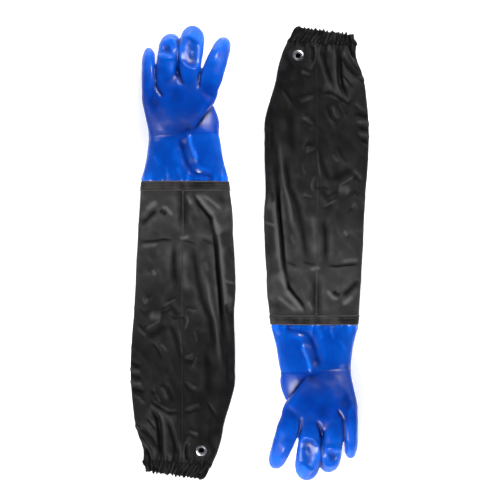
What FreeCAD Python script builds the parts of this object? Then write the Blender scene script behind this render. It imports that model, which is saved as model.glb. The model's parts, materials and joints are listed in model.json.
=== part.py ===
"""A pair of shoulder-length protective gloves, lying flat with the backs of the hands up.

Each glove has a dipped PVC hand and gauntlet over a knitted liner, a coated-fabric sleeve welded to
the gauntlet under a band, and a gathered, elasticated hem with one metal eyelet. Millimetres, +Z up,
the floor at Z = 0, and the origin on the floor at the middle of the pair. Glove A has its fingers
towards +Y and lies at -X. Glove B is the same glove turned half a turn about Z.

The shells are cut where the hand bends, at the wrist and at the root of each digit, because each side
moves alone. The cuts are bevelled, so that the wrist and the digits turn through their whole range
without touching.
"""

import FreeCAD
import Part
import math
import os

V = FreeCAD.Vector

# Materials' thicknesses
SLEEVE_WALL = 0.8
SHELL_WALL = 1.6
LINER_WALL = 1.2
BAND_WALL = 1.0
TAPE_WALL = 0.6
LAYER_GAP = 0.1
JOINT_GAP = 0.3

# A flattened tube's cross-section is a superellipse through this many points
SECTION_POINTS = 24
ARM_SQUARENESS = 2.4
HAND_SQUARENESS = 2.2
RING_FACES = 8

# The arm from shoulder to wrist. Each station gives both edges of the flattened tube, and its
# underside and top: (left x, left y, right x, right y, low, high)
HEM_END = (-159.5, -337.0, -69.5, -348.5, 2.0, 17.0)
HEM_START = (-163.0, -320.0, -58.0, -331.5, 1.0, 19.0)
SLEEVE_STATIONS = [
    HEM_START,
    (-165.5, -309.0, -49.0, -312.0, 0.6, 21.0),
    (-177.5, -266.0, -38.5, -266.0, 0.2, 24.0),
    (-182.5, -223.0, -27.7, -223.0, 0.0, 25.0),
    (-185.0, -180.0, -22.5, -180.0, 0.0, 26.0),
    (-178.0, -72.0, -23.0, -72.0, 0.0, 27.0),
    (-174.5, 14.0, -24.6, 14.0, 0.0, 29.0),
    (-169.5, 84.0, -30.5, 84.0, 1.3, 32.0),
    (-166.5, 111.0, -33.5, 111.0, 1.3, 33.0),
]
BAND_START_Y = 97.0
SLEEVE_END_Y = 111.0
GAUNTLET_START_Y = 96.0
INNER_TAPE_START_Y = 85.0
WRIST_Y = 186.0
GAUNTLET_STATIONS = [
    (-160.5, 143.0, -40.0, 143.0, 0.3, 35.5),
    (-157.5, 165.0, -43.5, 165.0, 0.2, 37.0),
    (-156.0, WRIST_Y - JOINT_GAP / 2, -47.5, WRIST_Y - JOINT_GAP / 2, 0.2, 38.0),
]

# Every joint's two sides are bevelled back from its axis by half its range and this margin, in degrees
BEVEL_MARGIN = 1.0
BEVEL_TALL = 60.0

# The wrist bends about a level axis along X, at this height, this far each way
WRIST_AXIS = (-101.75, WRIST_Y, 19.0)
WRIST_BEND = 30.0
WRIST_WIDE = 150.0

# The hand, from the wrist to the roots of the fingers
PALM_STATIONS = [
    (-156.0, WRIST_Y + JOINT_GAP / 2, -47.5, WRIST_Y + JOINT_GAP / 2, 0.2, 38.0),
    (-157.5, 196.0, -54.0, 196.0, 14.0, 46.0),
    (-160.0, 206.0, -59.0, 206.0, 24.5, 52.0),
    (-164.5, 232.0, -56.0, 232.0, 29.5, 57.0),
    (-166.5, 285.0, -37.0, 285.0, 31.0, 58.0),
]

# Each finger: its root's middle (x, y), the way it points in degrees from +X, its width and its reach.
# Its centre line comes down from the root to the floor as FINGER_LINE says.
FINGERS = {
    "little": ((-154.3, 252.0), 91.5, 25.0, 63.0),
    "ring": ((-125.3, 267.0), 89.0, 30.0, 70.5),
    "middle": ((-91.8, 271.0), 87.5, 33.0, 79.0),
    "index": ((-57.8, 266.5), 75.0, 31.0, 67.5),
}
# (share of the reach, height of the centre line, width's share, thickness)
FINGER_LINE = [
    (0.0, 45.0, 1.0, 25.0),
    (0.18, 43.5, 1.0, 25.0),
    (0.45, 38.5, 1.0, 24.0),
    (0.7, 28.0, 0.97, 22.5),
    (0.87, 15.5, 0.82, 20.0),
    (0.97, 7.0, 0.52, 13.0),
    (1.0, 4.6, 0.2, 6.0),
]
# A finger turns about a level axis across the middle of its root: down by the first, and up by the second
FINGER_BENDS = 60.0
FINGER_STRAIGHTENS = 15.0
ROOT_CLEARANCE = 3.0

# The thumb lies on the floor under the palm. It swings out from there about a level axis along Y,
# above its root.
THUMB_ROOT = (-62.0, 219.0)
THUMB_AZIMUTH = 150.0
THUMB_WIDTH = 29.0
THUMB_REACH = 60.0
THUMB_LINE = [
    (0.0, 11.5, 1.0, 21.5),
    (0.3, 11.5, 1.0, 21.5),
    (0.6, 11.2, 0.97, 21.0),
    (0.85, 11.0, 0.85, 20.0),
    (0.96, 11.0, 0.55, 15.0),
    (1.0, 11.0, 0.22, 7.0),
]
THUMB_BAY_R = 16.0
THUMB_BAY_TOP = 36.0

# Hem: the casing is a folded tube of sleeve fabric, with the elastic in its channel
CASING_DEPTH = 3.2
CASING_WALL = 0.8
ELASTIC_SHARE = (0.2, 0.8)
STITCHES_PER_ROW = 36
STITCH_LENGTH = 3.0
STITCH_THICKNESS = 0.5
STITCH_GAP = 0.15

# Eyelet: a rolled barrel with a flange outside and a washer inside
EYELET_XY = (-74.6, -304.0)
EYELET_HOLE_R = 4.25
EYELET_BARREL_WALL = 0.5
EYELET_FLANGE_R = 8.75
EYELET_FLANGE_H = 1.4
EYELET_CURL_R = 6.6
EYELET_LENGTH = 5.2
EYELET_LIFT = 0.35
WASHER_R = 8.0
WASHER_THICKNESS = 0.5
PATCH_R = 11.0
PATCH_THICKNESS = 0.6

# The lengthwise seam: a weld outside and a tape inside, along the middle of the sleeve's upper side
SEAM_SHARE = 0.02
SEAM_START_Y = -321.0
WELD_END_Y = BAND_START_Y - 0.5
SEAM_TAPE_END_Y = INNER_TAPE_START_Y - 1.0
SEAM_WIDTH = 3.0
SEAM_HEIGHT = 0.6
TAPE_WIDTH = 14.0
TAPE_DROP = 0.6


def between(a, b, share):
    """The station part of the way from a to b."""
    return tuple(p + (q - p) * share for p, q in zip(a, b))


def station_at(stations, y):
    """The station where the tube's middle line crosses y, between two straight-sided stations."""
    middles = [(s[1] + s[3]) / 2 for s in stations]
    for i in range(len(stations) - 1):
        if middles[i] <= y <= middles[i + 1]:
            share = (y - middles[i]) / (middles[i + 1] - middles[i])
            return between(stations[i], stations[i + 1], share)
    raise ValueError("no station at " + str(y))


def superellipse(angle, a, b, squareness):
    """A point of the superellipse with half axes a and b."""
    c, s = math.cos(angle), math.sin(angle)
    power = 2.0 / squareness
    return (
        a * math.copysign(abs(c) ** power, c),
        b * math.copysign(abs(s) ** power, s),
    )


def section_point(station, inset, angle, squareness=ARM_SQUARENESS):
    """A point on the wall of a flattened tube, inset from its outside."""
    left = V(station[0], station[1], 0)
    right = V(station[2], station[3], 0)
    across = (right - left).normalize()
    middle = (left + right) * 0.5 + V(0, 0, (station[4] + station[5]) / 2)
    a = (right - left).Length / 2 - inset
    b = (station[5] - station[4]) / 2 - inset
    u, w = superellipse(angle, a, b, squareness)
    return middle + across * u + V(0, 0, w)


def closed_wire(points, edges=1):
    """A smooth closed curve through the points, in one edge or more, each of which spans as many points."""
    curve = Part.BSplineCurve()
    curve.interpolate(Points=points, PeriodicFlag=True)
    knots = curve.getKnots()
    ends = [knots[i * (len(knots) - 1) // edges] for i in range(edges + 1)]
    return Part.Wire([curve.toShape(a, b) for a, b in zip(ends, ends[1:])])


def section(station, inset, squareness=ARM_SQUARENESS, edges=1):
    """The closed outline of a flattened tube at a station."""
    steps = [2 * math.pi * i / SECTION_POINTS for i in range(SECTION_POINTS)]
    return closed_wire([section_point(station, inset, a, squareness) for a in steps], edges)


def loft(wires, ruled=True):
    """The closed solid through the wires."""
    solid = Part.makeLoft(wires, True, ruled)
    if solid.Volume < 0:
        solid.reverse()
    return solid


def flat_tube(stations, inset, wall, squareness=ARM_SQUARENESS, edges=1):
    """A flattened tube, open at both ends, whose outside is inset from the stations."""
    outside = loft([section(s, inset, squareness, edges) for s in stations])
    inside = loft([section(s, inset + wall, squareness, edges) for s in stations])
    return outside.cut(inside)


def digit_frame(root, azimuth, reach, line):
    """Each section of a digit: (middle, level direction across it, direction through its thickness)."""
    way = V(math.cos(math.radians(azimuth)), math.sin(math.radians(azimuth)), 0)
    across = way.cross(V(0, 0, 1))
    places = [V(root[0], root[1], z) + way * (share * reach) for share, z, _, _ in line]
    frames = []
    for i, place in enumerate(places):
        before, after = places[max(i - 1, 0)], places[min(i + 1, len(places) - 1)]
        along = (after - before).normalize() if i else way
        frames.append((place, across, across.cross(along)))
    return frames


def digit_body(root, azimuth, width, reach, line, inset):
    """A digit's closed outline body, inset from its outside. Its root is a flat upright face."""
    wires = []
    for (place, across, through), (_, _, share, thickness) in zip(
        digit_frame(root, azimuth, reach - inset, line), line
    ):
        a = max(width * share / 2 - inset, 0.6)
        b = max(thickness / 2 - inset, 0.6)
        points = []
        for i in range(SECTION_POINTS):
            u, w = superellipse(2 * math.pi * i / SECTION_POINTS, a, b, HAND_SQUARENESS)
            points.append(place + across * u + through * w)
        wires.append(closed_wire(points))
    return loft(wires)


def digit_pieces(root, azimuth, width, reach, line):
    """A digit's PVC shell and its liner, both open at the root."""
    liner_out = SHELL_WALL + LAYER_GAP
    insets = (0.0, SHELL_WALL, liner_out, liner_out + LINER_WALL)
    bodies = [digit_body(root, azimuth, width, reach, line, i) for i in insets]
    return bodies[0].cut(bodies[1]), bodies[2].cut(bodies[3])


def finger_pieces(name):
    """A finger's shell and liner, bevelled at the root so that they turn clear of the palm."""
    root, azimuth, width, reach = FINGERS[name]
    axis_point = (root[0], root[1], FINGER_LINE[0][1])
    behind = joint_space(axis_point, azimuth, 2 * width, -1, FINGER_BENDS, FINGER_STRAIGHTENS)
    return [piece.cut(behind) for piece in digit_pieces(root, azimuth, width, reach, FINGER_LINE)]


def joint_space(axis_point, azimuth, wide, side, below, above):
    """The space on one side of a joint, for turns of below degrees down and above degrees up.

    side is +1 for the space ahead of the joint along the azimuth, which the part behind keeps clear.
    """
    back = side * JOINT_GAP / 2
    lower = side * BEVEL_TALL * math.tan(math.radians(below / 2 + BEVEL_MARGIN))
    upper = side * BEVEL_TALL * math.tan(math.radians(above / 2 + BEVEL_MARGIN))
    far = side * 2 * BEVEL_TALL
    outline = [
        (far, -BEVEL_TALL),
        (-back - lower, -BEVEL_TALL),
        (-back, 0),
        (-back - upper, BEVEL_TALL),
        (far, BEVEL_TALL),
    ]
    points = [V(along, -wide / 2, up) for along, up in outline + outline[:1]]
    space = Part.Face(Part.makePolygon(points)).extrude(V(0, wide, 0))
    space.rotate(V(0, 0, 0), V(0, 0, 1), azimuth)
    space.translate(V(*axis_point))
    return space


def palm_pieces():
    """The palm's PVC shell and liner, from the wrist to the fingers' roots, open to the thumb below."""
    liner_out = SHELL_WALL + LAYER_GAP
    pieces = [
        flat_tube(PALM_STATIONS, 0.0, SHELL_WALL, HAND_SQUARENESS),
        flat_tube(PALM_STATIONS, liner_out, LINER_WALL, HAND_SQUARENESS),
    ]
    thumb_bay = Part.makeCylinder(THUMB_BAY_R, THUMB_BAY_TOP, V(THUMB_ROOT[0], THUMB_ROOT[1], 0))
    spaces = [thumb_bay, joint_space(WRIST_AXIS, 90, WRIST_WIDE, -1, WRIST_BEND, WRIST_BEND)]
    for root, azimuth, width, _ in FINGERS.values():
        axis_point = (root[0], root[1], FINGER_LINE[0][1])
        wide = width + 2 * ROOT_CLEARANCE
        spaces.append(joint_space(axis_point, azimuth, wide, 1, FINGER_BENDS, FINGER_STRAIGHTENS))
    return [piece.cut(spaces) for piece in pieces]


def gauntlet_pieces():
    """The gauntlet's shell and liner, from inside the sleeve's end to the wrist."""
    start = station_at(SLEEVE_STATIONS, GAUNTLET_START_Y)
    end = SLEEVE_STATIONS[-1]
    # The gauntlet lies inside the sleeve's wall where the two are welded, and is full size past it
    tucked = SLEEVE_WALL + LAYER_GAP
    ahead = joint_space(WRIST_AXIS, 90, WRIST_WIDE, 1, WRIST_BEND, WRIST_BEND)
    free = station_at([end, GAUNTLET_STATIONS[0]], SLEEVE_END_Y + 2.0)
    stations = [(start, tucked), (end, tucked), (free, 0.0)] + [(s, 0.0) for s in GAUNTLET_STATIONS]
    pieces = []
    for inset, wall in ((0.0, SHELL_WALL), (SHELL_WALL + LAYER_GAP, LINER_WALL)):
        outside = loft([section(s, extra + inset) for s, extra in stations])
        inside = loft([section(s, extra + inset + wall) for s, extra in stations])
        pieces.append(outside.cut([inside, ahead]))
    return pieces


def ring(stations, start_y, end_y, inset, wall):
    """A short band round the tube between two places, with several faces round it."""
    ends = [station_at(stations, start_y), station_at(stations, end_y)]
    return flat_tube(ends, inset, wall, ARM_SQUARENESS, RING_FACES)


def hem_pieces():
    """The folded casing, with its closed channel, and the elastic in it."""
    ends = [HEM_END, HEM_START]
    casing = flat_tube(ends, 0.0, CASING_DEPTH)
    low, high = ELASTIC_SHARE
    channel_ends = [between(*ends, low), between(*ends, high)]
    channel_depth = CASING_DEPTH - 2 * CASING_WALL
    casing = casing.cut(flat_tube(channel_ends, CASING_WALL, channel_depth))
    margin = 0.02
    elastic_ends = [between(*ends, low + margin), between(*ends, high - margin)]
    elastic = flat_tube(elastic_ends, CASING_WALL + LAYER_GAP, channel_depth - 2 * LAYER_GAP)
    return casing, elastic


def hem_stitches():
    """The row of stitches round the casing, next to the sleeve, each a short length of thread."""
    line = between(HEM_END, HEM_START, 0.9)
    stitches = []
    for i in range(STITCHES_PER_ROW):
        angle = 2 * math.pi * (i + 0.5) / STITCHES_PER_ROW
        step = 0.01
        here = section_point(line, 0.0, angle)
        ahead, behind = (section_point(line, 0.0, angle + s) for s in (step, -step))
        along = (ahead - behind).normalize()
        out = along.cross(V(0, 1, 0)).normalize()
        if (here - section_point(line, 2.0, angle)).dot(out) < 0:
            out = out * -1.0
        thread = Part.makeCylinder(
            STITCH_THICKNESS / 2,
            STITCH_LENGTH,
            here + out * (STITCH_THICKNESS / 2 + STITCH_GAP) - along * (STITCH_LENGTH / 2),
            along,
        )
        stitches.append(thread)
    return Part.makeCompound(stitches)


def top_of_sleeve(x, y, inset=0.0):
    """The point of the sleeve's upper wall above x, y."""
    station = station_at(SLEEVE_STATIONS, y)
    low, high = 0.0, math.pi
    for _ in range(60):
        middle = (low + high) / 2
        if section_point(station, inset, middle).x > x:
            low = middle
        else:
            high = middle
    return section_point(station, inset, low)


def eyelet_axis():
    """The eyelet's place on the outside of the sleeve, and the outward normal there."""
    x, y = EYELET_XY
    d = 3.0
    slope_x = top_of_sleeve(x + d, y) - top_of_sleeve(x - d, y)
    slope_y = top_of_sleeve(x, y + d) - top_of_sleeve(x, y - d)
    return top_of_sleeve(x, y), slope_x.cross(slope_y).normalize()


def on_axis(shape, place, axis):
    """The shape, made about +Z at the origin, set on the axis at the place."""
    shape.Placement = FreeCAD.Placement(place, FreeCAD.Rotation(V(0, 0, 1), axis))
    return shape


def eyelet_pieces():
    """The barrel with its flange and curled end, the washer, and the fabric patch behind it."""
    place, axis = eyelet_axis()
    r, wall = EYELET_HOLE_R, EYELET_BARREL_WALL
    top, bottom = EYELET_LIFT + EYELET_FLANGE_H, EYELET_LIFT + EYELET_FLANGE_H - EYELET_LENGTH
    outline = [
        (r, bottom + wall),
        (r + wall, bottom),
        (EYELET_CURL_R, bottom + wall),
        (EYELET_CURL_R, bottom + 2 * wall),
        (r + wall, bottom + 2 * wall),
        (r + wall, EYELET_LIFT),
        (EYELET_FLANGE_R, EYELET_LIFT),
        (EYELET_FLANGE_R - 0.3, EYELET_LIFT + 0.7 * EYELET_FLANGE_H),
        ((r + EYELET_FLANGE_R) / 2, top),
        (r + 0.6, top - 0.2),
        (r, top - 0.8),
    ]
    profile = Part.Face(Part.makePolygon([V(a, 0, b) for a, b in outline + outline[:1]]))
    barrel = profile.revolve(V(0, 0, 0), V(0, 0, 1), 360)
    hole = r + wall + LAYER_GAP
    washer_low = bottom + 2 * wall + LAYER_GAP
    washer = Part.makeCylinder(WASHER_R, WASHER_THICKNESS, V(0, 0, washer_low))
    washer = washer.cut(Part.makeCylinder(hole, 10, V(0, 0, bottom)))
    patch_low = washer_low + WASHER_THICKNESS + LAYER_GAP
    patch = Part.makeCylinder(PATCH_R, PATCH_THICKNESS, V(0, 0, patch_low))
    patch = patch.cut(Part.makeCylinder(hole, 10, V(0, 0, bottom)))
    pierce = Part.makeCylinder(hole, 6, V(0, 0, -3))
    return [on_axis(s, place, axis) for s in (barrel, washer, patch, pierce)]


def seam_strip(inset, width, height, end_y):
    """A strip along the sleeve's upper side, on its wall at that inset, height thick outwards."""
    wires = []
    first, last = station_at(SLEEVE_STATIONS, SEAM_START_Y), station_at(SLEEVE_STATIONS, end_y)
    between_them = [s for s in SLEEVE_STATIONS if SEAM_START_Y < (s[1] + s[3]) / 2 < end_y]
    for s in [first] + between_them + [last]:
        middle_x = (s[0] + s[2]) / 2 + SEAM_SHARE * (s[2] - s[0])
        y = (s[1] + s[3]) / 2
        span = [middle_x - width / 2, middle_x + width / 2]
        level = section_point(s, inset, math.pi / 2).z
        lower = [V(x, y, level) for x in span]
        upper = [p + V(0, 0, height) for p in reversed(lower)]
        wires.append(Part.makePolygon(lower + upper + lower[:1]))
    return loft(wires)


def sleeve_pieces():
    """The sleeve's tube, with its pierced hole, its lengthwise weld and the tape inside."""
    tube = flat_tube(SLEEVE_STATIONS, 0.0, SLEEVE_WALL)
    weld = seam_strip(-LAYER_GAP, SEAM_WIDTH, SEAM_HEIGHT, WELD_END_Y)
    tape = seam_strip(SLEEVE_WALL + TAPE_DROP + TAPE_WALL, TAPE_WIDTH, TAPE_WALL, SEAM_TAPE_END_Y)
    return tube, weld, tape


def glove():
    """Every piece of glove A, by name."""
    tube, weld, tape = sleeve_pieces()
    barrel, washer, patch, pierce = eyelet_pieces()
    casing, elastic = hem_pieces()
    gauntlet, gauntlet_liner = gauntlet_pieces()
    palm, palm_liner = palm_pieces()
    pieces = {
        "sleeve_tube": tube.cut(pierce),
        "sleeve_seam_weld": weld,
        "sleeve_seam_tape": tape,
        "hem_casing": casing,
        "hem_elastic": elastic,
        "hem_stitches": hem_stitches(),
        "eyelet_barrel": barrel,
        "eyelet_washer": washer,
        "eyelet_patch": patch,
        "joint_band": ring(SLEEVE_STATIONS, BAND_START_Y, SLEEVE_END_Y, -LAYER_GAP - BAND_WALL, BAND_WALL),
        "joint_inner_tape": ring(
            SLEEVE_STATIONS, INNER_TAPE_START_Y, GAUNTLET_START_Y - 0.5, SLEEVE_WALL + LAYER_GAP, TAPE_WALL
        ),
        "gauntlet_shell": gauntlet,
        "gauntlet_liner": gauntlet_liner,
        "palm_shell": palm,
        "palm_liner": palm_liner,
    }
    for name in FINGERS:
        pieces[name + "_shell"], pieces[name + "_liner"] = finger_pieces(name)
    thumb = digit_pieces(THUMB_ROOT, THUMB_AZIMUTH, THUMB_WIDTH, THUMB_REACH, THUMB_LINE)
    pieces["thumb_shell"], pieces["thumb_liner"] = thumb
    return pieces


def main():
    os.makedirs("parts", exist_ok=True)
    for name, shape in glove().items():
        turned = shape.copy()
        turned.rotate(V(0, 0, 0), V(0, 0, 1), 180)
        for side, placed in (("glove_a_", shape), ("glove_b_", turned)):
            if not placed.isValid() or len(placed.Solids) == 0:
                print("not a valid solid:", side + name)
            placed.exportStep("parts/" + side + name + ".step")
        print(name, "solids", len(shape.Solids), "volume", round(shape.Volume, 1))


main()
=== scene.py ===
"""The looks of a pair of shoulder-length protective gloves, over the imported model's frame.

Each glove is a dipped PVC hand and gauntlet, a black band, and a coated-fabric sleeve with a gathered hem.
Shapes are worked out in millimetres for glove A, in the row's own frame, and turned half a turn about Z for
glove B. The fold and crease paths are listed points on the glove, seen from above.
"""

import json
import math
import bmesh
import bpy
import numpy as np
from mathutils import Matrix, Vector


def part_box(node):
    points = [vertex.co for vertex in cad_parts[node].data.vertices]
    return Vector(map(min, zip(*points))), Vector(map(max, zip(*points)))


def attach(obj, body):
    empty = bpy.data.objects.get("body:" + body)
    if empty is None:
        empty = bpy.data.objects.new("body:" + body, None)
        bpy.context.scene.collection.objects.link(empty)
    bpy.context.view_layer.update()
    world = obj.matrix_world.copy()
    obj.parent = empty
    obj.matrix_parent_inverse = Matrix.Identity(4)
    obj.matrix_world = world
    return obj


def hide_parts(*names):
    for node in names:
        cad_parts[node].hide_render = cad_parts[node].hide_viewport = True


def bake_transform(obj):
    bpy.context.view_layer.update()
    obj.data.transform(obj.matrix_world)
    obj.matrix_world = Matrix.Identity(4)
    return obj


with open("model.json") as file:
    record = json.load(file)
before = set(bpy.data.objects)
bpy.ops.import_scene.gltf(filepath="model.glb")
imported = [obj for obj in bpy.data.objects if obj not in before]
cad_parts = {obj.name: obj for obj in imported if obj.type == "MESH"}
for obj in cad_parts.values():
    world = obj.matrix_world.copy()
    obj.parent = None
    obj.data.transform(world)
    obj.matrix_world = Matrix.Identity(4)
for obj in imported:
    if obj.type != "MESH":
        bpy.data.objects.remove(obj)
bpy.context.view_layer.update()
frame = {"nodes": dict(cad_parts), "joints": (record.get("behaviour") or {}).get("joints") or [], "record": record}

MM = 0.001
GLOVES = ("glove_a_", "glove_b_")
JOINTS = {joint["name"]: joint for joint in frame["joints"]}
FINGERS = ("little", "ring", "middle", "index")
# A random field's number of waves and their level, the share of a ridge over which each of its ends fades,
# and how far a point moves towards its neighbours' mean in a round
WAVE_COUNT = 24
WAVE_LEVEL = 0.9
RIDGE_ENDS = 0.3
RELAX_SHARE = 0.5


# ---------------------------------------------------------------- small helpers

def box_mm(node):
    """The corners of one of glove A's CAD nodes, in millimetres."""
    low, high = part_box("glove_a_" + node)
    return np.array(low) / MM, np.array(high) / MM


def smooth(t):
    """0 to 1 with level ends."""
    t = np.clip(t, 0.0, 1.0)
    return t * t * (3 - 2 * t)


def bump(x, centre, half):
    """A smooth hump of height 1 at the centre, and 0 from half away."""
    return smooth(1 - np.abs(x - centre) / half)


def rows_at(stations, places):
    """Rows on a smooth curve through the stations, whose first column is the place along it."""
    rows = np.array(stations, float)
    x, values = rows[:, 0], rows[:, 1:]
    places = np.asarray(places, float)
    slopes = np.gradient(values, x, axis=0)
    i = np.clip(np.searchsorted(x, places) - 1, 0, len(x) - 2)
    gap = (x[i + 1] - x[i])[:, None]
    t = np.clip((places - x[i])[:, None] / gap, 0, 1)
    start, end = values[i], values[i + 1]
    curve = (2 * t**3 - 3 * t**2 + 1) * start + (t**3 - 2 * t**2 + t) * gap * slopes[i]
    return curve + (3 * t**2 - 2 * t**3) * end + (t**3 - t**2) * gap * slopes[i + 1]


def waves(points, size, seed):
    """A smooth random field, about -1 to 1, whose features are about size across."""
    rng = np.random.default_rng(seed)
    ways = rng.normal(size=(WAVE_COUNT, points.shape[1]))
    ways /= np.linalg.norm(ways, axis=1)[:, None]
    speeds = 2 * math.pi / (size * rng.uniform(1.2, 3.0, WAVE_COUNT))
    turns = rng.uniform(0, 2 * math.pi, WAVE_COUNT)
    total = np.zeros(len(points))
    for way, speed, turn in zip(ways, speeds, turns):
        total += np.sin(points @ way * speed + turn)
    return total / math.sqrt(WAVE_COUNT) * WAVE_LEVEL


def layered_waves(points, layers):
    """Several random fields added up, from (height, size, seed) layers."""
    return sum(height * waves(points, size, seed) for height, size, seed in layers)


def beside(xy, path):
    """Each point's distance from the path, that distance signed (left is positive), and its share along."""
    path = np.array(path, float)
    lengths = np.linalg.norm(np.diff(path, axis=0), axis=1)
    before = np.concatenate([[0.0], np.cumsum(lengths)])
    best = np.full(len(xy), 1e9)
    signed = np.zeros(len(xy))
    share = np.zeros(len(xy))
    for i, length in enumerate(lengths):
        way = (path[i + 1] - path[i]) / length
        offset = xy - path[i]
        along = np.clip(offset @ way, 0, length)
        gap = offset - along[:, None] * way
        far = np.hypot(gap[:, 0], gap[:, 1])
        nearer = far < best
        side = np.sign(way[0] * offset[:, 1] - way[1] * offset[:, 0])
        best = np.where(nearer, far, best)
        signed = np.where(nearer, side * far, signed)
        share = np.where(nearer, (before[i] + along) / before[-1], share)
    return best, signed, share


def fade_ends(share, ends):
    """1 along the middle of a fold, and 0 at both its ends."""
    return smooth(share / ends) * smooth((1 - share) / ends)


def ridge(xy, path, width, height):
    """A rounded ridge along the path, or a groove where height is negative."""
    away, _, share = beside(xy, path)
    return height * np.exp(-((away / width) ** 2)) * fade_ends(share, RIDGE_ENDS)


def crease(xy, path, reach, height, sharp, ends):
    """A fold with a steep side on the path's right and a slope that runs out to its left."""
    _, signed, share = beside(xy, path)
    left = np.exp(-np.maximum(signed, 0) / reach)
    right = np.exp(-((np.maximum(-signed, 0) / reach) ** 2))
    step = 0.5 * (1 + np.tanh(signed / sharp))
    return height * step * left * right * fade_ends(share, ends)


def mesh_object(name, points, faces):
    """A new smooth-shaded object from points in millimetres."""
    mesh = bpy.data.meshes.new(name)
    mesh.from_pydata((np.asarray(points) * MM).tolist(), [], [list(face) for face in faces])
    mesh.update()
    mesh.polygons.foreach_set("use_smooth", [True] * len(mesh.polygons))
    obj = bpy.data.objects.new(name, mesh)
    bpy.context.scene.collection.objects.link(obj)
    return obj


def grid_faces(rows, columns):
    """Faces of a grid that is closed round its columns."""
    i, j = np.meshgrid(np.arange(rows - 1), np.arange(columns), indexing="ij")
    following = (j + 1) % columns
    this_row, next_row = i * columns, (i + 1) * columns
    corners = [this_row + j, this_row + following, next_row + following, next_row + j]
    return np.stack([c.ravel() for c in corners], axis=1)


def tube_faces(rings, columns):
    """Faces of a tube through rings of points, closed at both ends."""
    faces = [list(face) for face in grid_faces(rings, columns)]
    last = (rings - 1) * columns
    return faces + [list(range(columns))[::-1], list(range(last, last + columns))]


def turned(points, glove):
    """The points of glove A, moved to the glove."""
    points = np.asarray(points, float)
    return points if glove == "glove_a_" else points * (-1, -1, 1)


# ---------------------------------------------------------------- the dipped hand

# The edge of the second dip, across the wrist
DIP_LINE = ((-175.0, 178.0), (-120.0, 179.5), (-80.0, 183.0), (-30.0, 184.5))
# How fine the skin is made, how often it is evened out, and how far round a point its depth is measured
VOXEL = 1.4
TUBE_POINTS = 48
FLAT_TUBE_RINGS = 40
LINE_TUBE_RINGS = 44
FIRST_RELAX_ROUNDS = 17
LAST_RELAX_ROUNDS = 2
CAVITY_ROUNDS = 80
HAND_FLOOR_GAP = 0.3

# (y, left, right, underside, top) of the gauntlet and wrist
GAUNTLET = (
    (97, -164.5, -35.5, 2.6, 29.6),
    (107, -164.5, -35.3, 2.6, 30.0),
    (111, -168.3, -32.2, 1.2, 33.0),
    (118, -167.2, -33.4, 0.6, 34.0),
    (130, -163.8, -37.0, 0.4, 34.8),
    (143, -161.0, -40.0, 0.4, 35.5),
    (165, -157.5, -43.8, 0.3, 37.0),
    (186, -156.5, -47.8, 0.3, 38.0),
    (200, -157.0, -50.3, 2.5, 36.0),
    (214, -158.0, -52.3, 8.0, 30.5),
    (228, -158.0, -54.5, 13.0, 26.5),
)
# The same, of the back of the hand, which lies over the base of the thumb
PALM = (
    (172, -154.0, -106.0, 10.0, 35.5),
    (190, -156.5, -88.0, 15.0, 42.0),
    (205, -159.5, -76.5, 22.5, 48.5),
    (220, -162.5, -60.5, 28.0, 53.0),
    (235, -165.5, -51.5, 30.5, 55.5),
    (246, -165.5, -48.5, 31.5, 55.5),
    (256, -158.0, -52.0, 33.0, 55.0),
    (264, -147.0, -59.0, 35.5, 53.0),
    (272, -136.0, -69.0, 38.5, 49.0),
)
GAUNTLET_SQUARE, PALM_SQUARE = 2.5, 2.3
# (x, y, z, width, thickness) along the thumb, from inside the wrist to its tip under the palm
THUMB = (
    (-66, 176, 18.0, 28, 25),
    (-62, 196, 16.5, 29, 25),
    (-66, 215, 13.5, 29, 23.5),
    (-79, 231, 12.0, 28, 22.5),
    (-95, 241, 11.5, 27, 21.5),
    (-107, 247, 11.0, 23, 19.5),
    (-114, 250.5, 10.5, 15, 14),
    (-117, 252, 10.5, 6, 6),
)
# Skin that joins two fingers up to their web: (x, from y, to y)
WEBS = ((-144.5, 230.0, 248.0), (-111.0, 238.0, 266.0), (-76.5, 236.0, 260.0))
WEB_Z, WEB_WIDTH, WEB_THICKNESS = 42.5, 18, 13
WEB_RINGS = 4

# Each finger: sideways shift of its middle line at its root and at its tip, its width at both, its share of
# the CAD finger's reach, and how far past its root's axis the skin of its own begins
FINGER_LOOKS = {
    "little": (-1.0, -0.2, 20.5, 20.5, 0.965, 0.0),
    "ring": (-3.6, 1.8, 31.5, 34.0, 0.968, 5.0),
    "middle": (-1.2, 0.8, 34.0, 38.0, 0.972, 2.0),
    "index": (-1.6, 1.6, 34.5, 28.0, 0.948, 0.0),
}
# (share of the reach, height of the middle line, width's share, thickness)
FINGER_LINE = (
    (-0.45, 43.0, 0.62, 16.0),
    (-0.2, 43.6, 0.9, 22.0),
    (0.0, 43.6, 1.0, 24.0),
    (0.18, 42.6, 1.0, 24.6),
    (0.42, 38.8, 1.02, 25.0),
    (0.62, 31.6, 1.02, 24.0),
    (0.78, 23.0, 0.95, 22.0),
    (0.9, 14.4, 0.76, 18.0),
    (0.965, 9.6, 0.5, 13.0),
    (1.0, 7.0, 0.16, 6.0),
)
# How far aside a finger's skin reaches
FINGER_REACH_ASIDE = 22


def oval(centre, across, up, half_width, half_height, squareness=2.2):
    """A ring of points on a superellipse."""
    angle = np.linspace(0, 2 * math.pi, TUBE_POINTS, endpoint=False)
    power = 2 / squareness
    u = half_width * np.sign(np.cos(angle)) * np.abs(np.cos(angle)) ** power
    w = half_height * np.sign(np.sin(angle)) * np.abs(np.sin(angle)) ** power
    return np.asarray(centre) + u[:, None] * np.asarray(across) + w[:, None] * np.asarray(up)


def closed_tube(rings):
    """Points and faces of a closed tube through the rings."""
    return np.concatenate(rings), tube_faces(len(rings), TUBE_POINTS)


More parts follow.
